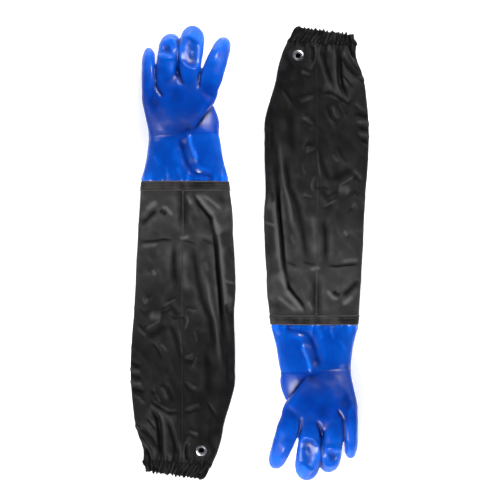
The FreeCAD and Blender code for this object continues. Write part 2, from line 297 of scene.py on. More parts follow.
def flat_tube(stations, squareness):
    """A tube along Y between the stations' edges."""
    places = np.linspace(stations[0][0], stations[-1][0], FLAT_TUBE_RINGS)
    rings = []
    for y, (left, right, low, high) in zip(places, rows_at(stations, places)):
        centre = ((left + right) / 2, y, (low + high) / 2)
        half_width, half_height = (right - left) / 2, (high - low) / 2
        rings.append(oval(centre, (1, 0, 0), (0, 0, 1), half_width, half_height, squareness))
    return closed_tube(rings)


def line_tube(line):
    """A tube along a line of (x, y, z, width, thickness)."""
    line = np.array(line, float)
    along = np.concatenate([[0], np.cumsum(np.linalg.norm(np.diff(line[:, :3], axis=0), axis=1))])
    rows = rows_at(np.column_stack([along, line]), np.linspace(0, along[-1], LINE_TUBE_RINGS))
    ways = np.gradient(rows[:, :3], axis=0)
    rings = []
    for (x, y, z, width, thickness), way in zip(rows, ways):
        way = way / np.linalg.norm(way)
        across = np.cross(way, (0, 0, 1))
        across = across / np.linalg.norm(across)
        half_width, half_height = max(width, 1) / 2, max(thickness, 1) / 2
        rings.append(oval((x, y, z), across, np.cross(across, way), half_width, half_height))
    return closed_tube(rings)


def finger_axes(name):
    """A finger's root, the level way that it points, and its reach, from the joint and the CAD's tip."""
    joint = JOINTS["glove_a_" + name + "_bend"]
    root = np.array(joint["pos_m"]) / MM
    way = np.array((joint["axis"][1], -joint["axis"][0], 0.0))
    tip_y = box_mm(name + "_shell")[1][1]
    return root, way, (tip_y - root[1]) / way[1]


def finger_line(name):
    """The middle line of a finger, with its widths and thicknesses."""
    root, way, reach = finger_axes(name)
    root_shift, tip_shift, root_width, tip_width, reach_share, _ = FINGER_LOOKS[name]
    line = []
    for share, z, width_share, thickness in FINGER_LINE:
        grown = smooth(share / 0.8)
        shift = root_shift + (tip_shift - root_shift) * grown
        width = root_width + (tip_width - root_width) * grown
        x, y = (root + way * reach * reach_share * share)[:2] + (shift, 0)
        line.append((x, y, z, width * width_share, thickness))
    return line


def web_line(x, start, end):
    """The skin between two fingers, as a short tube."""
    return [(x, y, WEB_Z, WEB_WIDTH, WEB_THICKNESS) for y in np.linspace(start, end, WEB_RINGS)]


def joined(parts):
    """Several closed tubes as one list of points and faces."""
    points, faces, start = [], [], 0
    for part_points, part_faces in parts:
        points.append(part_points)
        faces += [[i + start for i in face] for face in part_faces]
        start += len(part_points)
    return np.concatenate(points), faces


def remeshed(points, faces):
    """The outside of overlapping closed tubes, as one even mesh."""
    obj = mesh_object("hand_blank", points, faces)
    modifier = obj.modifiers.new("skin", "REMESH")
    modifier.mode = "VOXEL"
    modifier.voxel_size = VOXEL * MM
    graph = bpy.context.evaluated_depsgraph_get()
    mesh = bpy.data.meshes.new_from_object(obj.evaluated_get(graph))
    bpy.data.objects.remove(obj)
    return mesh


def mesh_arrays(mesh):
    """A mesh's points in millimetres, and its edges."""
    points = np.empty(len(mesh.vertices) * 3)
    mesh.vertices.foreach_get("co", points)
    edges = np.empty(len(mesh.edges) * 2, int)
    mesh.edges.foreach_get("vertices", edges)
    return points.reshape(-1, 3) / MM, edges.reshape(-1, 2)


def relaxed(points, edges, rounds):
    """The points, each moved towards the mean of its neighbours."""
    a, b = edges[:, 0], edges[:, 1]
    size = len(points)
    count = np.bincount(a, minlength=size) + np.bincount(b, minlength=size)
    for _ in range(rounds):
        mean = np.empty_like(points)
        for k in range(3):
            total = np.bincount(a, points[b, k], size) + np.bincount(b, points[a, k], size)
            mean[:, k] = total / count
        points = points + RELAX_SHARE * (mean - points)
    return points


def set_points(mesh, points):
    """Moves a mesh's points to these, in millimetres."""
    mesh.vertices.foreach_set("co", (points * MM).ravel())
    mesh.update()


def normals_of(mesh):
    """A mesh's normals at its points."""
    normals = np.empty(len(mesh.vertices) * 3)
    mesh.vertex_normals.foreach_get("vector", normals)
    return normals.reshape(-1, 3)


def cavity_of(mesh):
    """How far each point stands out from its surroundings, in millimetres: less than 0 in a fold."""
    points, edges = mesh_arrays(mesh)
    return ((points - relaxed(points, edges, CAVITY_ROUNDS)) * normals_of(mesh)).sum(axis=1)


def store_cavity(mesh, depths):
    """Keeps the depths on the mesh for its material, which paints shade into folds and highlight onto ridges from
    them.
    """
    mesh.attributes.new("cavity", "FLOAT", "POINT").data.foreach_set("value", depths)


def along_finger(points, name):
    """How far along and to the side of a finger's middle line each point is."""
    root, way, _ = finger_axes(name)
    shift = FINGER_LOOKS[name][0]
    offset = points[:, :2] - root[:2] - (shift, 0)
    return offset @ way[:2], offset[:, 0] * way[1] - offset[:, 1] * way[0]


def of_finger(points, name, past=0.0):
    """Which points are on a finger, past where its own skin begins."""
    along, side = along_finger(points, name)
    mine = (along > FINGER_LOOKS[name][-1] + past) & (np.abs(side) < FINGER_REACH_ASIDE)
    for other in FINGERS:
        if other != name:
            mine &= np.abs(side) <= np.abs(along_finger(points, other)[1])
    return mine


# Where the thumb's own skin begins, the way that it points, and the room that it lies in: the least x, and the
# most y and z, of the skin and of the cut at its root
THUMB_CUT = np.array((-68.0, 217.5, 12.0))
THUMB_WAY = np.array((-0.78, 0.6258, 0.0))
THUMB_LEAST_X, THUMB_MOST_Y, THUMB_MOST_Z = -130, 268, 26.0
THUMB_CUT_MOST_Y, THUMB_CUT_MOST_Z = 250, 27


def of_thumb(points):
    """Which points are on the free part of the thumb, under the palm."""
    x, y, z = points.T
    ahead = (points - THUMB_CUT) @ THUMB_WAY > 0
    return ahead & (z < THUMB_MOST_Z) & (y < THUMB_MOST_Y) & (x > THUMB_LEAST_X)


def at_thumb_root(points):
    """Which points the cut at the thumb's root may divide, under the palm."""
    return (points[:, 2] < THUMB_CUT_MOST_Z) & (points[:, 1] < THUMB_CUT_MOST_Y)


# The hollow of the middle finger: its middle, half width, half length, depth, and how far out it starts
BOWL_X, BOWL_Y = -89.0, 303.0
BOWL_HALF_WIDTH, BOWL_HALF_LENGTH = 15.0, 22.0
BOWL_DEPTH = 5.5
BOWL_START = 1.25
# Rounded folds of the hand's back and the gauntlet: (half width, height, then its points)
HAND_FOLDS = (
    # middle finger: the rim of its hollow
    (2.4, 2.2, (-105, 326), (-107, 310), (-105, 295), (-97, 284), (-86, 280), (-77, 287), (-74, 302)),
    # ring finger: a knuckle, the hollow past it, and a pinched edge by its tip
    (4.2, 2.6, (-144, 302), (-134, 298), (-124, 297), (-112, 302)),
    (7.5, -3.0, (-136, 315), (-128, 312), (-120, 315)),
    (2.4, 1.6, (-128, 332), (-117, 326), (-113, 314), (-113, 304)),
    (8.0, -1.4, (-136, 288), (-132, 272), (-126, 252)),
    # little finger: a thin ridge that runs on into the back of the hand
    (2.6, 1.8, (-154, 308), (-151, 292), (-149, 272), (-146, 256), (-138, 240), (-130, 232)),
    (9.0, -1.6, (-160, 236), (-150, 227), (-138, 222)),
    # index finger: one long soft ridge
    (5.0, 1.4, (-60, 284), (-52, 302), (-44, 322)),
    # the lines between the fingers' roots
    (2.6, -3.0, (-146, 262), (-142, 250), (-136, 242), (-130, 236)),
    (2.6, -2.6, (-111, 286), (-109, 272), (-105, 262), (-101, 254)),
    (2.4, -2.2, (-75, 282), (-76, 268), (-77, 256), (-80, 248)),
    (2.2, 1.5, (-72, 276), (-73, 264), (-75, 254)),
    # back of the hand
    (9.0, -0.8, (-112, 256), (-113, 240), (-112, 222)),
    (9.0, 0.8, (-128, 250), (-130, 232), (-130, 212)),
    # gauntlet: an upright ridge, the valley beside it, and folds above the band
    (2.2, 1.8, (-96, 187), (-93, 176), (-90, 163), (-84, 148), (-79, 136), (-76, 130)),
    (8.0, -4.0, (-106, 182), (-104, 164), (-99, 146), (-92, 128), (-88, 118)),
    (5.5, -2.6, (-96, 126), (-80, 122), (-64, 118), (-50, 113)),
    (3.5, 0.6, (-84, 133), (-70, 128), (-56, 122)),
    (4.0, 1.2, (-148, 152), (-142, 140), (-136, 132)),
    (2.6, 1.0, (-130, 136), (-126, 124), (-122, 116)),
    (3.0, 1.0, (-112, 134), (-110, 124), (-106, 116)),
)
# Folds with one steep side, as the sleeve's below: by the middle finger's tip, over the thumb's base, and on
# the gauntlet
HAND_CREASES = (
    (9.0, 3.6, 1.2, (-99, 333), (-90, 328), (-78, 319)),
    (14.0, 3.6, 1.3, (-90, 186), (-78, 203), (-66, 219), (-52, 236)),
    (9.0, 2.6, 1.4, (-97, 186), (-94, 170), (-89, 155), (-82, 138)),
)


HAND_SHARP_ENDS = 0.2
# Unevenness of the dipping: (height, size, seed)
DIP_WAVES = ((0.3, 16.0, 3), (0.04, 5.0, 5))
# How much thicker the second dip is, and how far its edge takes to reach that
DIP_THICKNESS, DIP_EDGE = 0.4, 1.5
# Small puckers by the band: their middle and reach along the gauntlet, their height, size and seed, and how
# much closer together their waves are across the gauntlet than along it
PUCKER_Y, PUCKER_REACH = 112.0, 22.0
PUCKER_HEIGHT, PUCKER_SIZE, PUCKER_SEED = 0.7, 5.0, 7
PUCKER_STRETCH = (1.0, 0.35, 1.0)


def hand_folds(points, normals):
    """How far each point of the hand's skin moves outwards: hollows, folds and the dip line's lip."""
    xy = points[:, :2]
    up = smooth((normals[:, 2] + 0.1) / 0.6)
    bowl = np.hypot((xy[:, 0] - BOWL_X) / BOWL_HALF_WIDTH, (xy[:, 1] - BOWL_Y) / BOWL_HALF_LENGTH)
    lift = -BOWL_DEPTH * smooth(BOWL_START - bowl)
    for width, height, *path in HAND_FOLDS:
        lift += ridge(xy, path, width, height)
    for reach, height, sharp, *path in HAND_CREASES:
        lift += crease(xy, path, reach, height, sharp, HAND_SHARP_ENDS)
    lift *= up
    smooth_part = 1 - smooth((xy[:, 1] - np.interp(xy[:, 0], *np.array(DIP_LINE).T)) / DIP_EDGE)
    lift += layered_waves(points, DIP_WAVES)
    pucker = bump(xy[:, 1], PUCKER_Y, PUCKER_REACH) * smooth_part
    lift += pucker * PUCKER_HEIGHT * waves(points * PUCKER_STRETCH, PUCKER_SIZE, PUCKER_SEED)
    lift += DIP_THICKNESS * (1 - smooth_part)
    return lift


def hand_mesh():
    """The whole skin of glove A's hand and gauntlet."""
    parts = [flat_tube(GAUNTLET, GAUNTLET_SQUARE), flat_tube(PALM, PALM_SQUARE), line_tube(THUMB)]
    parts += [line_tube(finger_line(name)) for name in FINGERS]
    parts += [line_tube(web_line(*web)) for web in WEBS]
    mesh = remeshed(*joined(parts))
    points, edges = mesh_arrays(mesh)
    points = relaxed(points, edges, FIRST_RELAX_ROUNDS)
    set_points(mesh, points)
    normals = normals_of(mesh)
    points = points + normals * hand_folds(points, normals)[:, None]
    points = relaxed(points, edges, LAST_RELAX_ROUNDS)
    points[:, 2] = np.maximum(points[:, 2], HAND_FLOOR_GAP)
    set_points(mesh, points)
    return mesh


def used_only(points, faces):
    """The faces renumbered over just the points that they use, and those points' numbers."""
    used = np.unique(np.concatenate([np.array(face) for face in faces]))
    renumber = np.full(len(points), -1)
    renumber[used] = np.arange(len(used))
    return used, [[int(renumber[i]) for i in face] for face in faces]


def cut_along(mesh, cuts):
    """Adds edges to the mesh where it crosses each cut: (point, way, which points it may cut)."""
    edit = bmesh.new()
    edit.from_mesh(mesh)
    for point, way, chosen in cuts:
        faces = list(edit.faces)
        centres = np.array([face.calc_center_median()[:] for face in faces]) / MM
        near = np.abs((centres - point) @ way) < 3 * VOXEL
        near &= chosen(centres)
        some = [face for face, flag in zip(faces, near) if flag]
        around = [edge for face in some for edge in face.edges]
        around += [vert for face in some for vert in face.verts]
        geometry = some + list(dict.fromkeys(around))
        place = [c * MM for c in point]
        bmesh.ops.bisect_plane(edit, geom=geometry, plane_co=place, plane_no=list(way), dist=1e-7)
    edit.to_mesh(mesh)
    edit.free()
    mesh.update()


def hand_pieces():
    """Glove A's skin, as {piece: (points, faces, normals, depths)}: gauntlet, palm, thumb and fingers."""
    mesh = hand_mesh()
    cuts = []
    for name in FINGERS:
        root, way, _ = finger_axes(name)
        start = root + way * FINGER_LOOKS[name][-1] + (FINGER_LOOKS[name][0], 0, 0)
        cuts.append((start, way, lambda c, n=name: of_finger(c, n, -4 * VOXEL)))
    cuts.append((THUMB_CUT, THUMB_WAY, at_thumb_root))
    dip = np.array(DIP_LINE)
    middle = np.append(dip.mean(axis=0), 0)
    slope = (dip[-1] - dip[0]) / np.linalg.norm(dip[-1] - dip[0])
    dip_way = np.array((-slope[1], slope[0], 0.0))
    cuts.append((middle, dip_way, lambda c: np.ones(len(c), bool)))
    cut_along(mesh, cuts)
    points, _ = mesh_arrays(mesh)
    normals = normals_of(mesh)
    depths = cavity_of(mesh)
    faces = [list(polygon.vertices) for polygon in mesh.polygons]
    centres = np.array([polygon.center[:] for polygon in mesh.polygons]) / MM
    owner = np.where((centres - middle) @ dip_way > 0, "palm", "gauntlet").astype("<U8")
    for name in FINGERS:
        owner[of_finger(centres, name)] = name
    owner[of_thumb(centres)] = "thumb"
    bpy.data.meshes.remove(mesh)
    pieces = {}
    for name in ("gauntlet", "palm", "thumb") + FINGERS:
        chosen = [face for face, who in zip(faces, owner) if who == name]
        used, own_faces = used_only(points, chosen)
        pieces[name] = (points[used], own_faces, normals[used], depths[used])
    return pieces


def add_hand(glove, pieces, materials):
    """The skin of one glove's hand, in its pieces, cut at the wrist and at the root of each digit."""
    made = {}
    for name, (points, faces, normals, depths) in pieces.items():
        obj = mesh_object(glove + name + "_skin", turned(points, glove), faces)
        obj.data.normals_split_custom_set_from_vertices(turned(normals, glove).tolist())
        store_cavity(obj.data, depths)
        rough = name != "gauntlet"
        obj.data.materials.append(materials["rough_pvc" if rough else "smooth_pvc"])
        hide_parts(glove + name + "_shell", glove + name + "_liner")
        made[name] = obj
    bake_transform(made["gauntlet"])
    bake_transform(made["palm"])
    for name in FINGERS:
        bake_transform(made[name])
    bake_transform(made["thumb"])


# ---------------------------------------------------------------- the sleeve

# The sleeve's mesh: its columns over and under, its rows, and where they start and end
TOP_COLUMNS = 150
UNDER_COLUMNS = 60
SLEEVE_ROWS = 250
SLEEVE_START, SLEEVE_END = -341.5, 109.0

# (place along it, left x, left y, right x, right y, underside, top) of the flattened sleeve
SLEEVE = (
    (-347, -159.5, -339.0, -74.5, -351.0, 4.2, 14.5),
    (-340, -160.0, -333.0, -70.0, -343.5, 3.2, 15.8),
    (-331, -160.6, -325.5, -62.5, -334.0, 2.0, 17.8),
    (-318, -161.8, -314.5, -53.5, -318.5, 1.0, 20.0),
    (-305, -163.6, -303.0, -48.8, -305.0, 0.5, 21.6),
    (-288, -166.8, -287.5, -44.2, -288.0, 0.3, 23.0),
    (-276, -171.4, -276.0, -42.0, -276.0, 0.2, 23.6),
    (-266, -176.8, -266.0, -40.2, -266.0, 0.2, 24.0),
    (-244, -180.5, -244.0, -33.6, -244.0, 0.2, 24.6),
    (-223, -182.8, -223.0, -27.3, -223.0, 0.2, 25.0),
    (-205, -184.2, -205.0, -23.3, -205.0, 0.2, 25.3),
    (-180, -185.0, -180.0, -23.0, -180.0, 0.2, 25.6),
    (-137, -182.8, -137.0, -23.2, -137.0, 0.2, 26.0),
    (-94, -179.6, -94.0, -24.3, -94.0, 0.2, 26.4),
    (-51, -177.6, -51.0, -22.8, -51.0, 0.2, 27.0),
    (-8, -175.6, -8.0, -23.6, -8.0, 0.2, 28.0),
    (35, -173.0, 35.0, -26.8, 35.0, 0.3, 29.6),
    (78, -170.0, 78.0, -28.3, 78.0, 0.8, 31.4),
    (97, -168.6, 97.0, -30.8, 97.0, 1.2, 32.3),
    (112, -166.8, 112.0, -33.0, 112.0, 1.4, 32.8),
)
# Its cross-section, a lens up to OVAL_FROM and an oval past OVAL_AT: the share of the height at its edges,
# then how square across and how round at its edges, over and under
LENS = np.array((0.36, 2.6, 0.62, 7.0, 0.5))
OVAL = np.array((0.5, 2.4, 0.4167, 2.4, 0.4167))
OVAL_FROM, OVAL_AT = 10.0, 92.0

# Rounded folds of the sleeve's upper side: (half width, height before the gain, then its points)
FOLD_GAIN = 1.35
SOFT_FOLDS = (
    # from the band: a broad valley, facets each side of it, and a dent
    (8.0, -3.0, (-104, 130), (-104, 97), (-103, 78), (-102, 56), (-103, 30)),
    (2.6, 1.3, (-99, 92), (-94, 82), (-89, 73)),
    (8.0, -2.4, (-40, 125), (-40, 98), (-44, 86), (-38, 74), (-30, 68)),
    (3.4, 1.6, (-76, 91), (-62, 82), (-50, 72), (-41, 65)),
    (5.0, -2.4, (-170, 42), (-162, 51), (-152, 60), (-141, 69)),
    (4.0, 1.4, (-160, 66), (-150, 74), (-140, 80)),
    (3.2, -2.2, (-140, 66), (-133, 62), (-128, 58)),
    (2.6, 1.8, (-138, 72), (-128, 69), (-122, 62), (-117, 56)),
    # packing creases across and along
    (2.6, -1.6, (-172, 18), (-150, 19), (-134, 21), (-114, 20)),
    (3.4, 1.1, (-170, 11), (-152, 12), (-138, 15)),
    (2.6, 1.5, (-110, 25), (-102, 23), (-92, 26)),
    (2.2, -1.5, (-104, 19), (-92, 17), (-80, 13)),
    (2.2, -1.2, (-74, 21), (-64, 17), (-56, 13)),
    (5.0, -2.0, (-115, 22), (-117, -6), (-116, -34), (-112, -60)),
    (6.5, 1.6, (-101, 14), (-101, -14), (-99, -44), (-97, -66)),
    (5.5, -2.2, (-96, 22), (-86, 0), (-81, -34), (-74, -66), (-67, -90), (-58, -102)),
    (3.0, 1.3, (-150, -24), (-147, -31), (-142, -33)),
    (2.6, 0.6, (-72, -12), (-66, -20), (-64, -30)),
    # the right-hand third: a long ridge between two long valleys
    (3.4, 2.6, (-70, -26), (-65, -48), (-60, -80), (-54, -104), (-49, -141), (-45, -166), (-41, -190)),
    (4.2, -2.4, (-73, -64), (-66, -86), (-59, -100), (-56, -124), (-55, -150)),
    (4.0, -2.6, (-46, -40), (-44, -66), (-42, -90), (-39, -128), (-37, -150)),
    (8.0, -2.4, (-62, -148), (-60, -176), (-58, -206), (-60, -226)),
    (3.4, -1.6, (-34, -150), (-33, -178), (-34, -206)),
    (1.8, 1.8, (-45, -40), (-38, -43), (-30, -46), (-24, -48)),
    (3.2, -1.4, (-38, -76), (-34, -86), (-33, -96)),
    (3.0, 1.2, (-32, -62), (-31, -80), (-29, -98)),
    # fine fans of creases half-way down
    (1.9, -1.0, (-128, -76), (-120, -69), (-110, -66)),
    (2.0, -1.3, (-138, -88), (-126, -80), (-114, -71)),
    (2.0, -1.2, (-138, -93), (-130, -90), (-118, -84)),
    (2.0, 1.2, (-134, -84), (-124, -77), (-112, -70)),
    (4.6, -1.8, (-122, -76), (-114, -88), (-108, -100)),
    (1.8, -1.3, (-124, -96), (-114, -100), (-104, -98), (-98, -104)),
    (4.0, -2.2, (-122, -104), (-118, -118), (-112, -134), (-106, -152)),
    (1.6, 1.4, (-109, -112), (-107, -130), (-104, -150), (-104, -160)),
    (2.2, 1.3, (-98, -92), (-95, -104), (-98, -114), (-103, -120)),
    (2.0, -0.9, (-100, -81), (-92, -84), (-82, -86)),
    (2.2, 1.0, (-98, -84), (-90, -87), (-80, -91)),
    (2.4, 1.0, (-86, -118), (-82, -128), (-80, -140)),
    (7.0, 1.8, (-156, -92), (-146, -97), (-132, -98)),
    (7.0, -2.2, (-160, -130), (-148, -122), (-134, -112), (-126, -104)),
    (2.0, 1.0, (-162, -118), (-148, -110), (-134, -102)),
    (2.2, -0.9, (-160, -60), (-156, -68), (-150, -58)),
    (2.2, 0.9, (-166, -66), (-162, -76), (-154, -66)),
    (2.4, -1.1, (-170, -84), (-163, -94), (-156, -84)),
    (2.4, -1.1, (-172, -106), (-164, -116), (-158, -108)),
    (2.2, 1.0, (-174, -112), (-166, -122), (-158, -128)),
    (2.0, -1.0, (-156, -142), (-148, -140), (-140, -150), (-133, -166)),
    (2.2, 1.0, (-140, -140), (-132, -143), (-126, -152)),
    (2.4, 1.1, (-102, -159), (-94, -158), (-84, -153)),
    (3.4, -1.2, (-101, -164), (-95, -166), (-86, -164)),
    (2.2, 0.9, (-90, -180), (-84, -168), (-80, -156)),
    (1.9, -1.2, (-112, -142), (-107, -154), (-103, -164)),
    # the bottoms of the deepest folds
    (2.6, -4.6, (-85, 90), (-77.5, 75), (-69, 65), (-60, 54), (-55.5, 38)),
    (2.8, -5.4, (-58, 50), (-54, 30), (-51, 8), (-49, -20), (-46, -50), (-43, -84), (-42, -118)),
    (4.0, -5.4, (-152, -232), (-144, -246), (-139, -262), (-138, -280), (-138, -300), (-134, -322)),
    (2.4, -4.0, (-152, -229), (-140, -238), (-124, -246), (-108, -247)),
    (2.4, -4.0, (-124, -250), (-122, -266), (-117, -285), (-112, -302), (-106, -320)),
    (2.6, -4.4, (-176, -266), (-164, -274), (-154, -287), (-146, -297), (-136, -308)),
    (2.6, -3.6, (-96, -322), (-98, -306), (-96, -290)),
    (2.4, -3.6, (-152, -328), (-156, -312), (-163, -296)),
    # puckers along the left edge
    (3.2, -1.8, (-188, -168), (-178, -171), (-168, -176)),
    (3.6, 1.7, (-188, -179), (-177, -181), (-166, -183)),
    (3.2, -1.9, (-188, -189), (-177, -190), (-166, -192)),
    (3.8, 1.9, (-188, -199), (-176, -200), (-163, -200)),
    (3.2, -2.1, (-186, -208), (-176, -210), (-161, -214)),
    (3.0, 1.2, (-184, -218), (-172, -222), (-160, -232)),
    # down to the hem
    (2.6, -1.8, (-100, -198), (-93, -209), (-84, -215)),
    (2.6, 1.2, (-96, -196), (-88, -204), (-78, -208)),
    (2.2, -1.6, (-134, -200), (-124, -208), (-120, -220), (-119, -232)),
    (2.4, 1.3, (-139, -204), (-131, -212), (-126, -226)),
    (2.0, 1.3, (-148, -214), (-142, -222), (-136, -230)),
    (1.9, -1.2, (-151, -210), (-145, -220), (-139, -228)),
    (1.8, -1.2, (-161, -252), (-152, -262), (-142, -275)),
    (2.4, -1.0, (-66, -228), (-58, -242), (-49, -256)),
    (2.0, -1.0, (-102, -245), (-90, -243), (-72, -238)),
    (3.0, 1.0, (-100, -238), (-88, -236), (-74, -231)),
    (3.0, 1.4, (-95, -272), (-86, -276), (-76, -280)),
    (4.0, 1.2, (-50, -276), (-54, -290), (-52, -304)),
)
# Folds with one steep side, high on the path's left: (how far it runs out, height, steepness, its points)
SHARP_FOLDS = (
    (13.0, 5.0, 1.2, (-86, 93), (-78, 75), (-70, 66), (-60, 54), (-55, 40), (-53, 24)),
    (15.0, 5.2, 2.4, (-62, 58), (-55, 36), (-52, 20), (-50, 0), (-47, -24), (-44, -56), (-42, -90)),
    (7.0, 4.0, 1.0, (-108, -246), (-122, -245), (-133, -240), (-143, -237), (-154, -229)),
    (10.0, 5.4, 2.2, (-151, -231), (-142, -252), (-138, -275), (-138, -298), (-132, -324)),
    (8.0, 4.6, 1.4, (-125, -246), (-123, -266), (-118, -285), (-113, -302), (-106, -322)),
    (8.0, 4.2, 1.8, (-94, -276), (-99, -290), (-102, -306), (-100, -332)),
    (9.0, 4.8, 1.2, (-134, -308), (-147, -294), (-154, -286), (-164, -272), (-180, -263)),
    (6.0, 3.8, 1.2, (-148, -332), (-151, -308), (-158, -294), (-167, -283), (-174, -271)),
)
SHARP_ENDS = 0.15
# Crumples with sharp crests, fine ripples, and slow swells of the whole sleeve: (height, size, seed)
CRUMPLES = ((0.9, 34.0, 21), (0.35, 15.0, 22))
RIPPLES = ((0.12, 7.0, 23),)
SWELLS = ((0.35, 40.0, 31),)
# Near the band the folds die away, because the band holds the sleeve in shape
BAND_CALM_START, BAND_CALM_LENGTH, BAND_CALM_SHARE = 72.0, 34.0, 0.7
# The lengthwise seam: its path, its weld's bead, and the tape behind it
SEAM_PATH = (
    (-109, -338), (-104, -305), (-102.5, -280), (-103.5, -180), (-104, -100), (-103.5, 0), (-102.5, 94),
)
WELD_HALF_WIDTH, WELD_HEIGHT, WELD_UNDER = 1.3, 0.32, 0.4
TAPE_HALF_WIDTH, TAPE_OUTER, TAPE_INNER = 7, -0.9, -1.4
TAPE_COLUMNS = 9
# Rows of the sleeve that the weld and the tape leave free at each end
WELD_ROWS = slice(8, -8)
TAPE_ROWS = slice(14, -16)
# The casing: its ends along the sleeve, how far it stands out, how much it puffs, and how far it turns back
CASING_START, CASING_END = -345.5, -324.5
CASING_LIFT, CASING_PUFF = 0.35, 1.25
CASING_TURN_LENGTH, CASING_TURN_HEIGHT, CASING_TURN_MIDDLE = 0.7, 1.2, -0.8
CASING_INSIDE, CASING_RETURN = -2.0, 20.0
# The band's profile, (place along the sleeve, offset outwards): a weld line at each edge, low ribs between
BAND_PROFILE = (
    (95.8, -0.1), (96.1, 0.9), (96.8, 1.7), (97.6, 1.6), (98.1, 0.7), (98.8, 0.6), (99.6, 0.95),
    (102.0, 1.15), (103.6, 0.85), (105.6, 1.15), (108.0, 0.95), (108.7, 1.25), (109.6, 1.3),
    (110.4, 1.0), (110.8, 0.4), (110.9, -0.8), (110.7, -2.8),
)
INNER_TAPE_OUTER, INNER_TAPE_INNER = -0.8, -1.3
# The stitches round the casing: place, number, half length, height over the casing, radius, and their mesh
STITCH_PLACE = -327.5
STITCH_COUNT = 36
STITCH_STEP = 1.5
STITCH_BASE = 1.15
STITCH_LIFT = 0.35
STITCH_R = 0.4
STITCH_RINGS = 7
STITCH_SIDES = 8
STITCH_FLOOR_GAP = 0.1
# The flat round the eyelet: its height over the mount, its radius, where it fades out, and the hole in it
BORE_BELOW = 1.0
EYELET_FLAT = 10.0
EYELET_FADE = 19.0
EYELET_HOLE = 6.4
EYELET_DEEP = 6
SLEEVE_FLOOR_GAP = 0.15


def sleeve_base(places):
    """The plain flattened sleeve at each place, as rows of points: over it from the left, then under."""
    rows = rows_at(SLEEVE, places)
    over = np.linspace(math.pi, 0, TOP_COLUMNS, endpoint=False)
    under = np.linspace(0, math.pi, UNDER_COLUMNS, endpoint=False)
    u = np.cos(np.concatenate([over, under]))
    left_x, left_y, right_x, right_y, low, high = rows.T[:, :, None]
    share = (u + 1) / 2
    oval_share = smooth((places - OVAL_FROM) / (OVAL_AT - OVAL_FROM))[:, None]
    section = LENS + (OVAL - LENS) * oval_share
    edge_share, top_square, top_round, low_square, low_round = section.T[:, :, None]
    edge = low + edge_share * (high - low)
    top = edge + (high - edge) * np.maximum(1 - np.abs(u) ** top_square, 0) ** top_round
    bottom = edge - (edge - low) * np.maximum(1 - np.abs(u) ** low_square, 0) ** low_round
    x = left_x + (right_x - left_x) * share
    y = left_y + (right_y - left_y) * share
    z = np.where(np.arange(len(u)) < TOP_COLUMNS, top, bottom)
    return np.stack([x, y, z], axis=2)


def into_hem(places):
    """How far each place is past the casing's stitching, towards the hem's end."""
    return np.maximum(CASING_END - places, 0)


def gathers(places, around):
    """How far the gathers at the hem stand out, at each place and share of the way round.

    Three sizes of gather run round the hem, each made uneven by slower waves. All die away up the sleeve.
    """
    turn = 2 * math.pi * around[None, :]
    into = np.maximum(places - CASING_END, 0)[:, None]
    slant = 0.09 * into_hem(places)[:, None]
    fine = np.sin(27 * turn + 1.6 * np.sin(3 * turn) + 0.9 * np.sin(7 * turn + slant) + slant)
    short = np.sin(41 * turn + 2.0 * np.sin(5 * turn + 1) - 2.6 * slant)
    broad = np.sin(13 * turn + 1.2 * np.sin(2 * turn + 1))
    uneven = 1 + 0.5 * np.sin(5 * turn + 2) * np.cos(2.2 * slant)
    near = (1.7 * fine + 0.8 * short) * np.exp(-into / 8)
    return uneven * (near + 1.6 * broad * np.exp(-into / 20) * (1 - 0.5 * np.exp(-into / 6)))


def sleeve_folds(points):
    """How far the sleeve's upper side moves outwards: folds, creases and fine crumples."""
    xy = points[:, :2]
    lift = np.zeros(len(points))
    for width, height, *path in SOFT_FOLDS:
        lift += ridge(xy, path, width, FOLD_GAIN * height)
    for reach, height, sharp, *path in SHARP_FOLDS:
        lift += crease(xy, path, reach, height, sharp, SHARP_ENDS)
    crumples = sum(height * (0.5 - np.abs(waves(points, size, seed))) for height, size, seed in CRUMPLES)
    return lift + (crumples + layered_waves(points, RIPPLES))


def eyelet_plane():
    """A point of the flat round the eyelet, and its outward normal."""
    mount = frame["record"]["mounts"][0]
    axis = np.array(mount["axis"])
    return np.array(mount["pos_m"]) / MM + axis * BORE_BELOW, axis


def eyelet_offsets(points):
    """How far each point is along the eyelet's axis, and away from it."""
    middle, axis = eyelet_plane()
    offset = points - middle
    along = offset @ axis
    return along, np.linalg.norm(offset - along[..., None] * axis, axis=-1)


def flatten_at_eyelet(points, rows_out, upper):
    """Draws the upper side of the sleeve's rows to the flat round the eyelet."""
    middle, axis = eyelet_plane()
    _, away = eyelet_offsets(points)
    plane_z = middle[2] - ((points - middle)[:, :, :2] @ axis[:2]) / axis[2] + rows_out
    share = smooth((EYELET_FADE - away) / (EYELET_FADE - EYELET_FLAT)) * upper
    points[:, :, 2] += share * (plane_z - points[:, :, 2])


